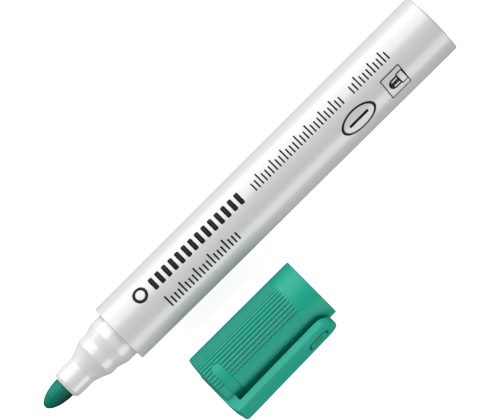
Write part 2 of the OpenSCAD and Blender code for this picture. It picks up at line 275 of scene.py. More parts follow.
def moulded_plastic(name, base, shade, roughness, grain, depth, **sockets):
    """Moulded plastic: faint colour drift, uneven gloss, and a fine spark-eroded grain."""
    material, tree, principled = shader(name, base, roughness, **sockets)
    drift = add_noise(tree, 90, 3.0)
    tint = add_ramp(tree, drift, [(0.3, tuple(c * shade for c in base)), (0.7, base)])
    tree.links.new(tint, principled.inputs["Base Color"])
    gloss = add_noise(tree, 700, 4.0)
    tree.links.new(add_range(tree, gloss, roughness * 0.93, roughness * 1.09),
                   principled.inputs["Roughness"])
    fine = add_bump(tree, principled, add_noise(tree, grain, 3.0), depth)
    add_bump(tree, principled, add_noise(tree, 260, 2.0, (0.25, 1, 1)), depth * 3, fine)
    return material


def barrel_material():
    """Glossy white of the barrel and its tail plug."""
    return moulded_plastic("barrel_white", (0.61, 0.61, 0.615), 0.985, 0.31, 5200, 0.6e-6,
                           Specular_IOR_Level=1.0)


def nose_material():
    """Slightly glossier, milky white of the front section."""
    return moulded_plastic("nose_milky", (0.69, 0.69, 0.68), 0.985, 0.24, 5200, 0.25e-6,
                           Specular_IOR_Level=1.0)


def green_material():
    """Satin green with painted shade: darker at the bottom of the grip's flutes."""
    material = moulded_plastic("cap_green", (0.010, 0.372, 0.258), 0.95, 0.5, 4200, 1.6e-6,
                               Specular_IOR_Level=0.25)
    tree = material.node_tree
    base = tree.nodes["Principled BSDF"].inputs["Base Color"]
    # Painted shade: the flutes' share of full depth darkens the base colour down to 0.6.
    depth = tree.nodes.new("ShaderNodeAttribute")
    depth.attribute_name = FLUTE_SHADE_ATTRIBUTE
    fade = tree.nodes.new("ShaderNodeMapRange")
    fade.inputs["To Min"].default_value = 1.0
    fade.inputs["To Max"].default_value = 0.6
    tree.links.new(depth.outputs["Fac"], fade.inputs["Value"])
    tree.links.new(add_scale(tree, base.links[0].from_socket, fade.outputs["Result"]), base)
    return material


def pressed_shade_material():
    """The cap's green, much darker: painted shade laid in the bed of the oval line pressed into the
    clip.
    """
    return moulded_plastic("cap_green_painted_shade", (0.002, 0.09, 0.062), 0.85, 0.6, 4200, 1.6e-6,
                           Specular_IOR_Level=0.15)


def seal_material():
    """Natural, slightly waxy polyethylene of the seal cup."""
    return moulded_plastic("seal_white", (0.62, 0.66, 0.64), 0.97, 0.45, 4200, 1.5e-6,
                           Subsurface_Weight=0.3, Subsurface_Scale=0.001)


def print_material():
    """Screen-printed ink with a fine mesh-like unevenness."""
    material, tree, principled = shader("print_black", (0.012, 0.012, 0.013), 0.45,
                                        Specular_IOR_Level=0.15)
    drift = add_noise(tree, 2600, 5.0)
    tint = add_ramp(tree, drift, [(0.35, (0.005, 0.005, 0.006)), (0.75, (0.018, 0.018, 0.019))])
    tree.links.new(tint, principled.inputs["Base Color"])
    tree.links.new(add_range(tree, drift, 0.36, 0.5), principled.inputs["Roughness"])
    add_bump(tree, principled, add_noise(tree, 6000, 2.0), 1.5e-6)
    return material


def paint_side_shade(tree, colour, start, end, amount):
    """Darkens a colour from one Y to another in object space: painted shade on the side away from the
    key light.
    """
    coords = tree.nodes.new("ShaderNodeTexCoord")
    split = tree.nodes.new("ShaderNodeSeparateXYZ")
    fade = tree.nodes.new("ShaderNodeMapRange")
    fade.interpolation_type = "SMOOTHSTEP"
    fade.inputs["From Min"].default_value = start
    fade.inputs["From Max"].default_value = end
    fade.inputs["To Min"].default_value = 1.0
    fade.inputs["To Max"].default_value = amount
    tree.links.new(coords.outputs["Object"], split.inputs["Vector"])
    tree.links.new(split.outputs["Y"], fade.inputs["Value"])
    return add_scale(tree, colour, fade.outputs["Result"])


def fibre_material(name, dark, light, streak_scale, depth, side_shade=1.0, **sockets):
    """Bonded fibre soaked with ink: long fine streaks, and, when asked, painted shade that darkens its
    -Y side.
    """
    material, tree, principled = shader(name, light, 0.5, **sockets)
    streaks = add_noise(tree, streak_scale, 6.0, (0.12, 1, 1), 0.7)
    tint = add_ramp(tree, streaks, [(0.32, dark), (0.62, light)])
    # Painted shade: the colour darkens towards -Y, the side away from the key light.
    if side_shade < 1:
        tint = paint_side_shade(tree, tint, 0.6 * MM, -2.7 * MM, side_shade)
    tree.links.new(tint, principled.inputs["Base Color"])
    tree.links.new(add_range(tree, streaks, 0.38, 0.62), principled.inputs["Roughness"])
    coarse = add_bump(tree, principled, streaks, depth)
    add_bump(tree, principled, add_noise(tree, streak_scale * 2.5, 4.0, (0.5, 1, 1)),
             depth / 2, coarse)
    return material


def film_material():
    """Thin clear wrap with faint wrinkles."""
    material, tree, principled = shader("film", (0.92, 0.93, 0.93), 0.2,
                                        Transmission_Weight=0.5, IOR=1.45)
    add_bump(tree, principled, add_noise(tree, 400, 3.0, (0.2, 1, 1)), 1e-5)
    return material


def floor_material():
    """Plain pale studio floor."""
    material, tree, principled = shader("floor_pale", (0.9, 0.9, 0.9), 0.9)
    drift = add_noise(tree, 6, 2.0)
    tint = add_ramp(tree, drift, [(0.3, (0.8, 0.8, 0.8)), (0.7, (0.82, 0.82, 0.82))])
    tree.links.new(tint, principled.inputs["Base Color"])
    principled.inputs["Emission Color"].default_value = (1, 1, 1, 1)
    principled.inputs["Emission Strength"].default_value = 0.85
    return material


def backdrop_material():
    """Pale wall that glows evenly."""
    material, _, principled = shader("backdrop_pale", (0.1, 0.1, 0.1), 1.0)
    principled.inputs["Emission Color"].default_value = (0.97, 0.97, 0.97, 1)
    principled.inputs["Emission Strength"].default_value = 0.9
    return material


BARREL_WHITE = barrel_material()
NOSE_MILKY = nose_material()
CAP_GREEN = green_material()
# Painted shade for the bed of the clip's pressed oval.
GREEN_PAINTED_SHADE = pressed_shade_material()
SEAL_WHITE = seal_material()
PRINT_BLACK = print_material()
# The nib's fibre gets painted shade on its -Y side.
NIB_GREEN = fibre_material("nib_fibre", (0.001, 0.12, 0.085), (0.006, 0.235, 0.17), 2600,
                           1.0e-5, side_shade=0.12, Specular_IOR_Level=0.12)
CORE_FIBRE = fibre_material("reservoir_fibre", (0.03, 0.3, 0.22), (0.12, 0.5, 0.38), 1500, 3e-5)
FILM_CLEAR = film_material()


# ---------------------------------------------------------------- marker body

def crown_at(r, height, edge):
    """How far a crowned end stands out at a distance from its axis."""
    return height * (1 - (r / edge) ** 2)


def barrel_radius(x):
    """Outer radius of the barrel at a distance behind its rim."""
    return lerp(RIM_R, REAR_R, (x - RIM_X) / (REAR_X - RIM_X))


def make_barrel():
    """Tapered tube with a flat front rim and a rounded, slightly crowned rear edge."""
    wall, chamfer, rim_round, rear_round = 1.2 * MM, 0.15 * MM, 0.25 * MM, 0.85 * MM
    face_r = 7.3 * MM
    face_x = REAR_X - PLUG_FACE_T
    seat_end = SEAT_END + 0.5 * MM
    edge_r = REAR_R - 0.8 * MM
    corners = [
        (RIM_X + chamfer, SEAT_R, 0.03 * MM),
        (RIM_X, SEAT_R + chamfer, 0.05 * MM),
        (RIM_X, RIM_R, rim_round),
        (REAR_X + crown_at(edge_r, CROWN, REAR_R), REAR_R, rear_round),
        (REAR_X + crown_at(face_r, CROWN, REAR_R), face_r, 0.06 * MM),
        (face_x, face_r, 0),
        (face_x, barrel_radius(face_x) - wall, 0),
        (seat_end, barrel_radius(seat_end) - wall, 0),
        (seat_end, SEAT_R, 0),
    ]
    verts, faces = lathe(soften(corners, True, 8), (0, 0))
    return make_piece("barrel_tube", verts, faces, BARREL_WHITE, "marker",
                      ["barrel"])


def make_tail_plug():
    """Crowned plug flush in the rear end, with the small dimple of its moulding gate."""
    face_r, wall, skirt_len, gate_r = 7.25 * MM, 1.1 * MM, 6.5 * MM, 1.1 * MM
    face_x = REAR_X - PLUG_FACE_T
    skirt_x = face_x - skirt_len
    skirt_r = barrel_radius(skirt_x) - 1.22 * MM
    edge_x = REAR_X + crown_at(face_r, CROWN, REAR_R)
    top = REAR_X + CROWN
    skirt = [(face_x - wall, 0), (face_x - wall, skirt_r - wall), (skirt_x, skirt_r - wall),
             (skirt_x, skirt_r), (face_x - 0.02 * MM, skirt_r + 0.03 * MM),
             (face_x - 0.01 * MM, face_r)]
    edge = [(edge_x - 0.12 * MM, face_r), (edge_x - 0.03 * MM, face_r - 0.02 * MM),
            (edge_x, face_r - 0.1 * MM)]
    crown = [(REAR_X + crown_at(r, CROWN, REAR_R), r)
             for r in (face_r * (1 - i / 14) for i in range(1, 12))]
    gate = [(top - 0.02 * MM, gate_r * 1.08), (top - 0.06 * MM, gate_r),
            (top - 0.16 * MM, gate_r * 0.9), (top - 0.18 * MM, gate_r * 0.7),
            (top - 0.18 * MM, gate_r * 0.35), (top - 0.05 * MM, gate_r * 0.25),
            (top - 0.03 * MM, 0)]
    verts, faces = lathe(skirt + edge + crown + gate, (0, 0))
    return make_piece("tail_plug_cap", verts, faces, BARREL_WHITE, "marker",
                      ["tail_plug"])


def make_front_section():
    """Milky moulding that holds the nib: ring, step, hollowed cone, collar and mouth."""
    ring_r, step_r, collar_r = 6.25 * MM, 5.45 * MM, 3.85 * MM
    ring, step_start, step_end = -3.0 * MM, -5.6 * MM, -7.95 * MM
    cone_end, collar_end = -12.05 * MM, -16.2 * MM
    bore_r = NIB_R + 0.05 * MM
    mouth_bore = NIB_R + 0.2 * MM
    mouth_r = mouth_bore + 0.35 * MM
    wall, tube_wall, sag = 1.1 * MM, 1.0 * MM, 0.12 * MM
    hollow_r, tube_r = ring_r - wall, bore_r + tube_wall
    cone = [(lerp(step_end, cone_end, t), lerp(step_r, collar_r, t) - sag * math.sin(math.pi * t), 0)
            for t in (0.15, 0.3, 0.45, 0.6, 0.75, 0.88)]
    corners = [
        (SEAT_END, SEAT_R - 0.02 * MM, 0.1 * MM),
        (0.02 * MM, SEAT_R - 0.02 * MM, 0),
        (0, ring_r, 0.02 * MM),
        (ring, ring_r, 0.1 * MM),
        (step_start + 0.25 * MM, step_r + 0.08 * MM, 0.12 * MM),
        (step_start - 0.1 * MM, step_r, 0.08 * MM),
        (step_end, step_r, 0.08 * MM),
    ] + cone + [
        (cone_end, collar_r, 0.08 * MM),
        (collar_end, collar_r, 0.25 * MM),
        ((collar_end + MOUTH_X) / 2, (collar_r + mouth_r) / 2 + 0.14 * MM, 0.5 * MM),
        (MOUTH_X, mouth_r, 0.14 * MM),
        (MOUTH_X, mouth_bore, 0.06 * MM),
        (collar_end, mouth_bore, 0),
        (collar_end, bore_r, 0.03 * MM),
        (SEAT_END, bore_r, 0.05 * MM),
        (SEAT_END, tube_r, 0.05 * MM),
        (step_end + wall, tube_r, 0.1 * MM),
        (step_end + wall, step_r - wall, 0.1 * MM),
        (ring, hollow_r, 0.1 * MM),
        (SEAT_END, hollow_r, 0.05 * MM),
    ]
    outline = soften(corners, True)
    vents, half_w, deep = 4, 0.45 * MM, 0.5 * MM

    def cut_vents(x, r, angle, _):
        """Air grooves along the nib's bore."""
        turn = (angle / (2 * math.pi) * vents) % 1 - 0.5
        across = abs(turn) * 2 * math.pi / vents * r
        if abs(r - bore_r) < 0.04 * MM and across < half_w:
            return x, r + deep
        return x, r

    verts, faces = lathe(outline, (0, 0), reshape=cut_vents)
    return make_piece("front_section_moulding", verts, faces, NOSE_MILKY, "marker",
                      ["front_section"])


def make_nib():
    """Bullet-ended fibre rod with a slightly furrowed, worn surface."""
    bullet = MOUTH_X - NIB_TIP
    point_start = NIB_REAR - 5 * MM
    point_end, point_r = NIB_REAR - 0.1 * MM, NIB_R * 0.36
    rod_steps, bullet_steps = 24, 44
    outline = [(NIB_REAR, 0), (NIB_REAR, NIB_R * 0.3), (point_end, point_r)]
    outline += [(lerp(point_end, point_start, t), lerp(point_r, NIB_R, t)) for t in (0.33, 0.66, 0.97)]
    outline += [(lerp(point_start, MOUTH_X, 0.02 + 0.98 * i / rod_steps), NIB_R)
                for i in range(rod_steps)]
    outline += [(MOUTH_X - bullet * math.sin(a), NIB_R * math.cos(a))
                for a in (math.pi / 2 * i / bullet_steps for i in range(bullet_steps))]
    outline += [(NIB_TIP, 0)]

    def furrow(x, r, angle, _):
        """Sinks fine lengthwise furrows and a few pores into the fibre."""
        at = Vector((x * 260, math.cos(angle) * 7, math.sin(angle) * 7))
        ridges = noise.fractal(at, 1.0, 2.0, 4)
        pores = noise.noise(Vector((x * 1500, math.cos(angle) * 9, math.sin(angle) * 9)))
        depth = 0.022 * MM * min(1, max(0, 0.5 + ridges)) + 0.018 * MM * max(0, pores)
        return x, max(r - depth * min(1, r / (0.5 * NIB_R)), r * 0.5)

    verts, faces = lathe(outline, (0, 0), reshape=furrow)
    return make_piece("nib_bullet", verts, faces, NIB_GREEN, "nib", ["nib"])


# ---------------------------------------------------------------- print on the barrel

PRINT_LIFT = 0.02 * MM
PRINT_SINK = 0.12 * MM


def on_barrel(s, v, lift):
    """Point at a distance s behind the rim and an arc length v towards -Y on the barrel."""
    r = barrel_radius(s)
    angle = v / r
    return (s, -(r + lift) * math.sin(angle), (r + lift) * math.cos(angle))


class InkSheet:
    """Collects thin closed slabs of ink that follow the barrel, as one mesh."""

    def __init__(self):
        self.verts, self.faces = [], []

    def _levels(self, points):
        """Adds points at the ink's upper and lower face; gives the first index of each."""
        first = len(self.verts)
        for lift in (PRINT_LIFT, -PRINT_SINK):
            self.verts += [on_barrel(s, v, lift) for s, v in points]
        return first, first + len(points)

    def band(self, outer, inner):
        """Ink between two equally long closed loops of (s, v) points."""
        n = len(outer)
        top, low = self._levels(outer + inner)
        for k in range(n):
            m = (k + 1) % n
            self.faces += [(top + k, top + m, top + n + m, top + n + k),
                           (low + m, low + k, low + n + k, low + n + m),
                           (top + m, top + k, low + k, low + m),
                           (top + n + k, top + n + m, low + n + m, low + n + k)]

    def bar(self, s, v, length, height, rounding, rows=10):
        """A filled bar centred on (s, v) with rounded corners."""
        left, right = [], []
        corner = [math.pi / 2 * i / 4 for i in range(5)]
        low, high = v - height / 2, v + height / 2
        levels = [(low + rounding * (1 - math.cos(a)), rounding * (1 - math.sin(a)))
                  for a in corner]
        levels += [(lerp(low + rounding, high - rounding, i / rows), 0) for i in range(1, rows)]
        levels += [(high - rounding * (1 - math.cos(a)), rounding * (1 - math.sin(a)))
                   for a in reversed(corner)]
        for at, inset in levels:
            left.append((s - length / 2 + inset, at))
            right.append((s + length / 2 - inset, at))
        n = len(left)
        top, bottom = self._levels(left + right)
        for k in range(n - 1):
            self.faces += [(top + k, top + k + 1, top + n + k + 1, top + n + k),
                           (bottom + k + 1, bottom + k, bottom + n + k, bottom + n + k + 1),
                           (top + k + 1, top + k, bottom + k, bottom + k + 1),
                           (top + n + k, top + n + k + 1, bottom + n + k + 1, bottom + n + k)]
        for k, flip in ((0, False), (n - 1, True)):
            side = (top + k, top + n + k, bottom + n + k, bottom + k)
            self.faces.append(side[::-1] if flip else side)

    def piece(self, name):
        """Makes the collected ink a piece of the marker."""
        return make_piece(name, self.verts, self.faces, PRINT_BLACK, "marker")


def oval_loop(s, v, a, b, count=96):
    """Points round an ellipse."""
    return [(s + a * math.cos(t), v + b * math.sin(t))
            for t in (2 * math.pi * i / count for i in range(count))]


def box_loop(s, v, a, b, rounding, lean=0.0, side=10, arc=4):
    """Points round a rounded rectangle of half sizes a and b that leans along s."""
    out = []
    for sx, sv, turn in ((1, 1, 0), (-1, 1, 90), (-1, -1, 180), (1, -1, 270)):
        for i in range(arc + 1):
            angle = math.radians(turn + 90 * i / arc)
            out.append((sx * (a - rounding) + rounding * math.cos(angle),
                        sv * (b - rounding) + rounding * math.sin(angle)))
        nx, nv = {(1, 1): (-1, 1), (-1, 1): (-1, -1), (-1, -1): (1, -1), (1, -1): (1, 1)}[sx, sv]
        begin = out[-1]
        angle = math.radians(turn + 90)
        end = (nx * (a - rounding) + rounding * math.cos(angle),
               nv * (b - rounding) + rounding * math.sin(angle))
        out += [(lerp(begin[0], end[0], i / side), lerp(begin[1], end[1], i / side))
                for i in range(1, side)]
    return [(s + x + lean * y, v + y) for x, y in out]


def bullet_loop(tip, end, v, b, round_len, count=24, side=8):
    """Points round a bar from a flat end at s = end to a round tip at s = tip."""
    out = [(tip + round_len * (1 - math.cos(t)), v + b * math.sin(t))
           for t in (lerp(-math.pi / 2, math.pi / 2, i / count) for i in range(count + 1))]
    out += [(end, lerp(v + b, v - b, i / side)) for i in range(side + 1)]
    return out


def tick_row(ink, start, end, base, heights, width, pitch, gap_after=()):
    """A row of upright rounded ticks that stand on one line; heights repeat along the row."""
    s, index = start, 0
    while s + width <= end + 1e-9:
        if index not in gap_after:
            height = heights[index % len(heights)]
            ink.bar(s + width / 2, base - height / 2, width, height, width * 0.3)
        s += pitch
        index += 1


def make_print():
    """Generic screen print: a ring, rows of plain ticks, an oval and a nib-shape pictogram."""
    line = 0.27 * MM

    ring = InkSheet()
    centre, outer_r, inner_r = (10.1 * MM, -2.9 * MM), 1.95 * MM, 1.2 * MM
    ring.band(oval_loop(*centre, outer_r, outer_r), oval_loop(*centre, inner_r, inner_r))
    ring.piece("print_ring")

    heavy = InkSheet()
    tick_row(heavy, 13.6 * MM, 43.1 * MM, -1.0 * MM, (3.3 * MM,), 1.25 * MM, 2.17 * MM)
    heavy.piece("print_heavy_ticks")

    light = InkSheet()
    low, tall = 2.3 * MM, 3.3 * MM
    tick_row(light, 13.7 * MM, 36.4 * MM, 4.6 * MM, (tall, low, low, low), 0.45 * MM, 1.17 * MM)
    tick_row(light, 46.6 * MM, 90.8 * MM, -0.95 * MM, (low, low, tall, low, low, low, tall),
             0.42 * MM, 1.15 * MM, gap_after=(26, 27))
    light.piece("print_light_ticks")

    oval = InkSheet()
    centre = (75.6 * MM, 4.1 * MM)
    oval.band(oval_loop(*centre, 5.2 * MM, 2.8 * MM), oval_loop(*centre, 4.5 * MM, 2.35 * MM))
    oval.bar(*centre, 6.0 * MM, 0.7 * MM, 0.3 * MM)
    oval.piece("print_oval")

    sign = InkSheet()
    s, v, a, b = 87.8 * MM, 4.15 * MM, 3.05 * MM, 2.95 * MM
    lean = -0.07
    sign.band(box_loop(s, v, a, b, line, lean),
              box_loop(s, v, a - line, b - line, line * 0.3, lean))
    tip, stem = 85.8 * MM, 88.85 * MM
    sign.band(bullet_loop(tip, stem, v, 1.25 * MM, 1.4 * MM),
              bullet_loop(tip + MM, stem - 0.6 * MM, v, 0.02 * MM, 0.02 * MM))
    holder = (stem + 1.0 * MM - line / 2, v, 1.0 * MM, 1.6 * MM)
    sign.band(box_loop(*holder, line * 0.4),
              box_loop(holder[0], v, holder[2] - line, holder[3] - line, line * 0.3))
    sign.piece("print_nib_sign")


# ---------------------------------------------------------------- cap

def cap_point(h, r, turn):
    """Point of the cap at a height above its closed end's edge, a radius, and an angle from
    the clip's middle."""
    angle = CLIP_TURN + turn
    return (CAP_BASE + h, CAP_Y - r * math.sin(angle), CAP_Z + r * math.cos(angle))


def stadium(x, y, half_run, radius):
    """Signed distance to a bar with round ends that lies along x."""
    return math.hypot(max(abs(x) - half_run, 0), y) - radius


def make_cap():
    """Cap shell with a fluted grip that fades out, a sunk band, a crowned end and a ribbed bore."""
    segments = 720
    pitch, first_flute = math.radians(6.7), math.radians(52.7)
    flutes = int((2 * math.pi - 2 * first_flute) / pitch) + 1
    flute_depth, fade = 0.24 * MM, 1.2 * MM
    flute_end = CAP_LEN - 5.6 * MM
    band_low, band_high, band_depth = 2.2 * MM, 4.8 * MM, 0.3 * MM
    band_mid, band_r = (band_low + band_high) / 2, (band_high - band_low) / 2
    band_half = math.radians(90) * CAP_R - band_r
    edge, rounding, lip = CAP_R - 0.6 * MM, 0.6 * MM, 0.3 * MM
    bore_r, floor_r, end_t = 6.3 * MM, 6.0 * MM, 1.6 * MM
    bore_floor = CAP_LEN - 11.5 * MM
    ribs, rib_half, rib_r = 6, 0.45 * MM, 5.6 * MM

    outer = [(-crown_at(edge * i / 12, CAP_CROWN, CAP_R), edge * i / 12) for i in range(13)]
    sink = crown_at(edge, CAP_CROWN, CAP_R)
    lean = math.atan2(2 * CAP_CROWN * edge / CAP_R ** 2, 1)
    outer += [(rounding - sink - rounding * math.cos(a), edge + rounding * math.sin(a))
              for a in (lerp(lean, math.pi / 2, i / 9) for i in range(1, 10))]
    levels = [0.75 * MM, 1.0 * MM, 1.5 * MM]
    levels += [lerp(band_low - 0.12 * MM, band_high + 0.12 * MM, i / 34) for i in range(35)]
    levels += [lerp(band_high + 0.3 * MM, flute_end - fade - 0.2 * MM, i / 12) for i in range(13)]
    levels += [lerp(flute_end - fade, flute_end + 0.1 * MM, i / 16) for i in range(17)]
    levels += [lerp(flute_end + 0.4 * MM, CAP_LEN - lip - 0.1 * MM, i / 6) for i in range(7)]
    outer += [(h, CAP_R) for h in levels]
    outer += [(CAP_LEN - lip + lip * math.sin(a), CAP_R - lip + lip * math.cos(a))
              for a in (math.pi / 2 * i / 6 for i in range(7))]
    inner = [(CAP_LEN, bore_r + 0.5 * MM), (CAP_LEN, bore_r + 0.26 * MM),
             (CAP_LEN - 0.02 * MM, bore_r + 0.18 * MM), (CAP_LEN - 0.18 * MM, bore_r + 0.02 * MM),
             (CAP_LEN - 0.28 * MM, bore_r), (CAP_LEN - 3 * MM, bore_r),
             (bore_floor + 0.1 * MM, bore_r), (bore_floor, bore_r - 0.01 * MM),
             (bore_floor - 0.05 * MM, bore_r - 0.02 * MM),
             (end_t + 0.3 * MM, floor_r), (end_t, floor_r - 0.3 * MM), (end_t, 2 * MM), (end_t, 0)]
    outline = outer + inner
    outer_count = len(outer) - 1
    rib_rows = {len(outer) + 7, len(outer) + 8}

    def flute(turn, h):
        """How deep the fluting is at an angle from the clip and a height."""
        along = (turn - first_flute) / pitch
        nearest = min(max(round(along), 0), flutes - 1)
        across = min(1.0, abs(along - nearest) * 2)
        return flute_depth * (0.5 + 0.5 * math.cos(math.pi * across)) ** 1.3 * (
            1 - smoothstep(flute_end - fade, flute_end, h))

    def sunk(turn, h):
        """1 inside the sunk band and 0 outside it."""
        if not band_low - MM < h < band_high + MM:
            return 0.0
        signed = turn if turn < math.pi else turn - 2 * math.pi
        gap = stadium(signed * CAP_R, h - band_mid, band_half, band_r)
        return 1 - smoothstep(-0.07 * MM, 0.07 * MM, gap)

    def flute_painted_shade(h, r, turn, index):
        """Share of the fluting's full depth at a point of the outside, which sets the painted shade in
        the flutes.
        """
        if index >= outer_count or r < edge * 0.97:
            return 0.0
        return flute(turn, h) / flute_depth * (1 - sunk(turn, h))

    def reshape(h, r, turn, index):
        """Sinks the flutes and the band into the outside, and raises the ribs inside."""
        if index < outer_count:
            if r < edge * 0.97:
                return h, r
            limit = lerp(CAP_R - flute(turn, h), CAP_R - band_depth, sunk(turn, h))
            return h, min(r, limit)
        if index in rib_rows:
            across = (turn / (2 * math.pi) * ribs) % 1 - 0.5
            if abs(across) * 2 * math.pi / ribs * rib_r < rib_half:
                return h, rib_r + 0.01 * MM
        return h, r

    poles = [outline[0], outline[-1]]
    rings = outline[1:-1]
    verts, shares = [], []
    for i, (h, r) in enumerate(rings):
        for k in range(segments):
            turn = 2 * math.pi * k / segments
            height, radius = reshape(h, r, turn, i)
            verts.append(cap_point(height, radius, turn))
            shares.append(flute_painted_shade(h, r, turn, i))
    first = len(verts)
    verts += [cap_point(h, 0, 0) for h, _ in poles]
    shares += [0.0, 0.0]
    faces = ring_faces(len(rings), segments, False, first, first + 1)
    piece = make_piece("cap_body", verts, faces, CAP_GREEN, "cap", ["cap_shell"])
    # These shares carry the painted shade in the flutes into the green material.
    layer = piece.data.attributes.new(FLUTE_SHADE_ATTRIBUTE, "FLOAT", "POINT")
    layer.data.foreach_set("value", shares)
    return piece


# Clip: its corner's height, its outer face at the root and the tip, and the oval on that face.
KNUCKLE_H = 0.8 * MM
ROOT_OUT, TIP_OUT = CAP_R + 3.65 * MM, CAP_R + 2.95 * MM
OVAL_MID, OVAL_HALF, OVAL_R = CLIP_TIP - 5.6 * MM, 1.6 * MM, 1.5 * MM
OVAL_LINE = 0.55 * MM
BAR_HALF, BAR_R = 1.0 * MM, 0.3 * MM


def face_at(h, root, end):
    """Distance of a face of the clip from the cap's axis at a height."""
    return lerp(root, end, (h - KNUCKLE_H) / (CLIP_TIP - KNUCKLE_H))


def make_clip():
    """Clip as one moulded bar: from the middle of the closed end, round the corner, to the tip."""
    half, bevel, inner_bevel = 3.5 * MM, 0.2 * MM, 0.12 * MM
    root_in, root_out = CAP_R + 1.75 * MM, ROOT_OUT
    tip_in, tip_out = CAP_R + 1.05 * MM, TIP_OUT
    knuckle, post_top, slant, bend = 1.0 * MM, 2.2 * MM, 0.5 * MM, 0.3 * MM
    knuckle_x = root_out - knuckle
    rise = post_top + bend
    oval_depth, oval_edge = 0.25 * MM, 0.06 * MM
    oval_low = OVAL_MID - OVAL_HALF - OVAL_R - 0.4 * MM

    # The bar on the closed end, the corner, and the lever, as (outer, inner) pairs of
    # (distance from the axis, height) points, each with its half width. The bar starts with
    # a round end and is sunk into the closed end.
    sections = []
    bar_end, bar_sunk = CAP_R - 1.2 * MM, 0.8 * MM
    end_steps, bar_steps, turn_steps = 18, 7, 12
    for i in range(end_steps):
        x = -half * math.cos(math.pi / 2 * i / end_steps)
        sections.append(((x, -POST_OUT), (x, bar_sunk), math.sqrt(max(half ** 2 - x ** 2, 0))))
    for i in range(bar_steps + 1):
        x = lerp(0, bar_end, i / bar_steps)
        sections.append(((x, -POST_OUT), (x, bar_sunk), half))
    corner_out = [(lerp(bar_end, CAP_R, t), -POST_OUT) for t in (0.5, 1)]
    corner_out += [(lerp(CAP_R, knuckle_x, t), -POST_OUT + slant * t) for t in (0.33, 0.66)]
    corner_out += [(knuckle_x + knuckle * math.cos(a), KNUCKLE_H + knuckle * math.sin(a))
                   for a in (lerp(-math.pi / 2, 0, i / turn_steps) for i in range(turn_steps + 1))]
    corner_out += [(face_at(h, root_out, tip_out), h)
                   for h in (lerp(KNUCKLE_H, rise, t) for t in (0.25, 0.5, 0.75, 1))]
    post_in, inner_x = bar_end + 0.05 * MM, face_at(rise, root_in, tip_in)
    corner_in = [(lerp(bar_end, post_in, t), lerp(bar_sunk, post_top, t))
                 for t in (i / 6 for i in range(1, 7))]
    corner_in += [(lerp(post_in, inner_x - bend, t), post_top) for t in (i / 5 for i in range(1, 6))]
    arc_steps = len(corner_out) - len(corner_in)
    corner_in += [(inner_x - bend + bend * math.sin(a), post_top + bend - bend * math.cos(a))
                  for a in (math.pi / 2 * i / arc_steps for i in range(1, arc_steps + 1))]
    sections += [(o, i, half) for o, i in zip(corner_out, corner_in)]
    round_start = CLIP_TIP - half
    lever_steps, oval_steps, round_steps = 12, 74, 34
    heights = [lerp(rise, oval_low, i / lever_steps) for i in range(1, lever_steps)]
    heights += [lerp(oval_low, round_start, i / oval_steps) for i in range(oval_steps + 1)]
    heights += [round_start + half * math.sin(math.pi / 2 * i / round_steps)
                for i in range(1, round_steps + 1)]
    for h in heights:
        w = math.sqrt(max(half ** 2 - max(0, h - round_start) ** 2, 0))
        sections.append(((face_at(h, root_out, tip_out), h), (face_at(h, root_in, tip_in), h), w))

    columns = 76
    shares = [math.sin(math.pi / 2 * lerp(-1, 1, j / columns)) * 0.35
              + lerp(-1, 1, j / columns) * 0.65 for j in range(columns + 1)]

    def edge_drop(inset, size):
        """How far a rounded edge drops at a distance in from the outline."""
        if inset >= size:
            return 0
        return size - math.sqrt(max(size ** 2 - (size - inset) ** 2, 0))

    def curve(x, w, begin, full):
        """Moves a point in so that the bar's faces are arcs about the cap's axis."""
        if x <= 0:
            return x
        return lerp(x, math.sqrt(max(x * x - w * w, 0)), smoothstep(begin, full, x))

    def inset_of(o, w):
        """Distance in from the clip's outline at an outer point of a section."""
        if o[0] < 0 and o[1] < 0:
            return half - math.hypot(o[0], w)
        if o[1] > round_start:
            return half - math.hypot(o[1] - round_start, w)
        return half - abs(w)

    def point_at(o, i, w, depth):
        """Point at w across a section: below its outer face, or above its inner one if negative."""
        ox = curve(o[0], w, CAP_R - 0.5 * MM, root_out - 0.3 * MM)
        ix = curve(i[0], w, CAP_R - 0.2 * MM, root_in - 0.2 * MM)
        a, b = Vector((ox, o[1])), Vector((ix, i[1]))
        at = a + (b - a).normalized() * depth if depth >= 0 else b + (a - b).normalized() * -depth
        return cap_point(at.y, math.hypot(at.x, w), math.atan2(w, at.x))

    verts, top, low = [], [], []
    for o, i, half_w in sections:
        pole = half_w < 1e-6
        row_top, row_low = [], []
        for share in ([0] if pole else shares):
            w = share * half_w
            inset = max(0, inset_of(o, w))
            depth = edge_drop(inset, bevel)
            if o[1] > oval_low:
                ring = abs(stadium(o[1] - OVAL_MID, w, OVAL_HALF, OVAL_R - OVAL_LINE / 2))
                gap = min(ring - OVAL_LINE / 2, stadium(o[1] - OVAL_MID, w, BAR_HALF, BAR_R))
                depth += oval_depth * (1 - smoothstep(-oval_edge, oval_edge, gap))
            row_top.append(len(verts))
            verts.append(point_at(o, i, w, depth))
            row_low.append(len(verts))
            verts.append(point_at(o, i, w, -max(edge_drop(inset, inner_bevel), 1e-6)))
        top.append(row_top)
        low.append(row_low)

    faces = []

    def skin(rows):
        """Faces between neighbouring rows of vertices; a row of one vertex is a pole."""
        for a, b in zip(rows, rows[1:]):
            if len(a) == 1 or len(b) == 1:
                fan, row = (a[0], b) if len(a) == 1 else (b[0], a)
                faces.extend((fan, row[k], row[k + 1]) for k in range(len(row) - 1))
            else:
                faces.extend((a[k], a[k + 1], b[k + 1], b[k]) for k in range(len(a) - 1))

    def border(rows):
        """Vertices once round the outline of a face, from its first row."""
        right = [row[-1] for row in rows if len(row) > 1]
        left = [row[0] for row in rows if len(row) > 1]
        return [rows[0][0]] + right + [rows[-1][0]] + left[::-1]

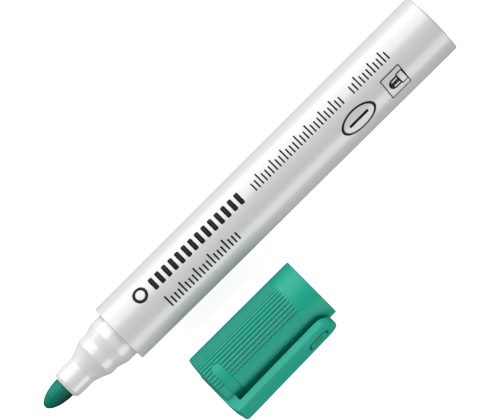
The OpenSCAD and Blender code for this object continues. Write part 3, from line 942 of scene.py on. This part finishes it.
    skin(top)
    skin(low)
    rim_top, rim_low = border(top), border(low)
    loops = [rim_top]
    for t in (0.06, 0.5, 0.94):
        loop = []
        for a, b in zip(rim_top, rim_low):
            loop.append(len(verts))
            verts.append(Vector(verts[a]).lerp(Vector(verts[b]), t))
        loops.append(loop)
    loops.append(rim_low)
    n = len(rim_top)
    for a, b in zip(loops, loops[1:]):
        faces += [(a[k], a[(k + 1) % n], b[(k + 1) % n], b[k]) for k in range(n)]
    clip = make_piece("clip_bar", verts, faces, CAP_GREEN, None, ["clip"])
    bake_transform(clip)
    return clip


def make_emblem_shade():
    """Dark slab of painted shade in the bed of the oval line pressed into the clip's face, with a
    short bar inside it.
    """
    verts, faces = [], []

    def slab(outer, inner):
        """Thin closed band between two loops of (height, across) points."""
        count, first = len(outer), len(verts)
        for depth in (0.16 * MM, 0.4 * MM):
            for h, w in outer + inner:
                r = face_at(h, ROOT_OUT, TIP_OUT) - depth
                verts.append(cap_point(h, r, math.asin(w / r)))
        low = first + 2 * count
        for k in range(count):
            n = (k + 1) % count
            for a, b, c, d in ((first + k, first + n, first + count + n, first + count + k),
                               (low + n, low + k, low + count + k, low + count + n),
                               (first + n, first + k, low + k, low + n),
                               (first + count + k, first + count + n, low + count + n,
                                low + count + k)):
                faces.append((a, b, c, d))

    def oval(radius, run, count=48):
        """Points round a bar with round ends on the clip's face."""
        turns = [2 * math.pi * (k + 0.5) / count for k in range(count)]
        return [(OVAL_MID + math.copysign(run, math.cos(t)) + radius * math.cos(t),
                 radius * math.sin(t)) for t in turns]

    slab(oval(OVAL_R + 0.03 * MM, OVAL_HALF), oval(OVAL_R - OVAL_LINE - 0.03 * MM, OVAL_HALF))
    slab(oval(BAR_R + 0.03 * MM, BAR_HALF), oval(0.02 * MM, BAR_HALF))
    return make_piece("clip_oval_painted_shade", verts, faces, GREEN_PAINTED_SHADE, "clip")


def make_seal():
    """Seal cup inside the cap: an open cup whose lip narrows to grip the collar."""
    end_t, outer, wall = 1.6 * MM, seal_high.z - CAP_Z, 1.0 * MM
    top = seal_high.x - CAP_BASE
    lip_r, entry, lip_len = 3.87 * MM, 1.0 * MM, 2.0 * MM
    bottom, lip_low = end_t + 0.01 * MM, top - entry - lip_len
    corners = [
        (bottom, 0, 0), (bottom, outer, 0.2 * MM), (top, outer, 0.15 * MM),
        (top, outer - wall, 0.1 * MM), (top - entry, lip_r, 0.2 * MM), (lip_low, lip_r, 0.2 * MM),
        (lip_low - 0.2 * MM, outer - wall, 0.2 * MM),
        (end_t + wall, outer - wall, 0.6 * MM), (end_t + wall, 0, 0),
    ]
    outline = [(CAP_BASE + p.x, p.y) for p in soften(corners, False)]
    verts, faces = lathe(outline, (CAP_Y, CAP_Z))
    return make_piece("seal_cup", verts, faces, SEAL_WHITE, "cap", ["inner_seal"])


# ---------------------------------------------------------------- scene set-up

def make_stage(name, verts, faces, material):
    """Part of the studio that only the camera sees, so that it throws no light on the marker."""
    mesh = bpy.data.meshes.new(name)
    mesh.from_pydata(verts, [], faces)
    mesh.polygons.foreach_set("use_smooth", [True] * len(mesh.polygons))
    mesh.materials.append(material)
    stage = bpy.data.objects.new(name, mesh)
    stage.visible_diffuse = stage.visible_glossy = False
    bpy.context.scene.collection.objects.link(stage)
    return stage


def make_floor():
    """Pale floor that the marker and its cap lie on, and a pale wall far around it."""
    size, drop = 1.2, 0.05 * MM
    radius, sides, wall_low, wall_high = 4.0, 64, -1.5, 2.5
    low = FLOOR_Z - drop
    make_stage("floor", [(-size, -size, low), (size, -size, low), (size, size, low),
                         (-size, size, low)], [(0, 1, 2, 3)], floor_material())
    around = [(radius * math.cos(2 * math.pi * k / sides), radius * math.sin(2 * math.pi * k / sides))
              for k in range(sides)]
    verts = [(x, y, z) for z in (wall_low, wall_high) for x, y in around]
    wall = make_stage("backdrop", verts, ring_faces(2, sides, False, None, None),
                      backdrop_material())
    wall.visible_shadow = False


# Camera: what its view is wide at the marker's axis, where it looks, and how it is turned.
FRAME_W = 117.65 * MM
VIEW_X, VIEW_Y = 42.4 * MM, -1.13 * MM
VIEW_TURN = math.radians(-44.82)
CAMERA_HEIGHT = 1.3


def make_camera():
    """Long lens straight above, turned so that the barrel runs up to the right."""
    data = bpy.data.cameras.new("camera")
    data.sensor_width = 36
    data.lens = 36 * CAMERA_HEIGHT / FRAME_W
    data.clip_start, data.clip_end = 0.05, 10
    camera = bpy.data.objects.new("camera", data)
    camera.location = (VIEW_X, VIEW_Y, CAMERA_HEIGHT)
    camera.rotation_euler = (0, 0, VIEW_TURN)
    bpy.context.scene.collection.objects.link(camera)
    bpy.context.scene.camera = camera


def add_softbox(name, angle, spread, distance, radiance):
    """Long area light beside the marker; angle is from straight up towards -Y, in degrees."""
    turn, length = math.radians(angle), 0.84
    width = 2 * distance * math.tan(math.radians(spread / 2))
    data = bpy.data.lights.new(name, "AREA")
    data.shape = "RECTANGLE"
    data.size, data.size_y = length, width
    data.energy = radiance * math.pi * length * width
    light = bpy.data.objects.new(name, data)
    light.location = (VIEW_X, VIEW_Y - distance * math.sin(turn), distance * math.cos(turn))
    aim = Vector((VIEW_X, VIEW_Y, 0)) - light.location
    light.rotation_euler = aim.to_track_quat("-Z", "Y").to_euler()
    bpy.context.scene.collection.objects.link(light)


def make_world():
    """Faint even light from all around."""
    world = bpy.data.worlds.new("studio")
    world.use_nodes = True
    background = world.node_tree.nodes["Background"]
    background.inputs["Color"].default_value = (1, 1, 1, 1)
    background.inputs["Strength"].default_value = 0.2
    bpy.context.scene.world = world


def make_lights():
    """Soft key from +Y with a low strip beside it, a fill from -Y, and little from above."""
    add_softbox("key", -45, 50, 0.7, 2.95)
    add_softbox("key_low", -79, 20, 0.7, 4.5)
    add_softbox("fill", 70, 36, 0.7, 3.1)
    make_world()
    bpy.context.scene.view_settings.view_transform = "Standard"


make_floor()
make_camera()
make_lights()
make_barrel()
make_tail_plug()
make_front_section()
make_nib()
make_print()
make_cap()
make_clip()
make_emblem_shade()
make_seal()
for node, material in (("reservoir_core", CORE_FIBRE), ("reservoir_film", FILM_CLEAR)):
    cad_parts[node].data.materials.clear()
    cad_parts[node].data.materials.append(material)
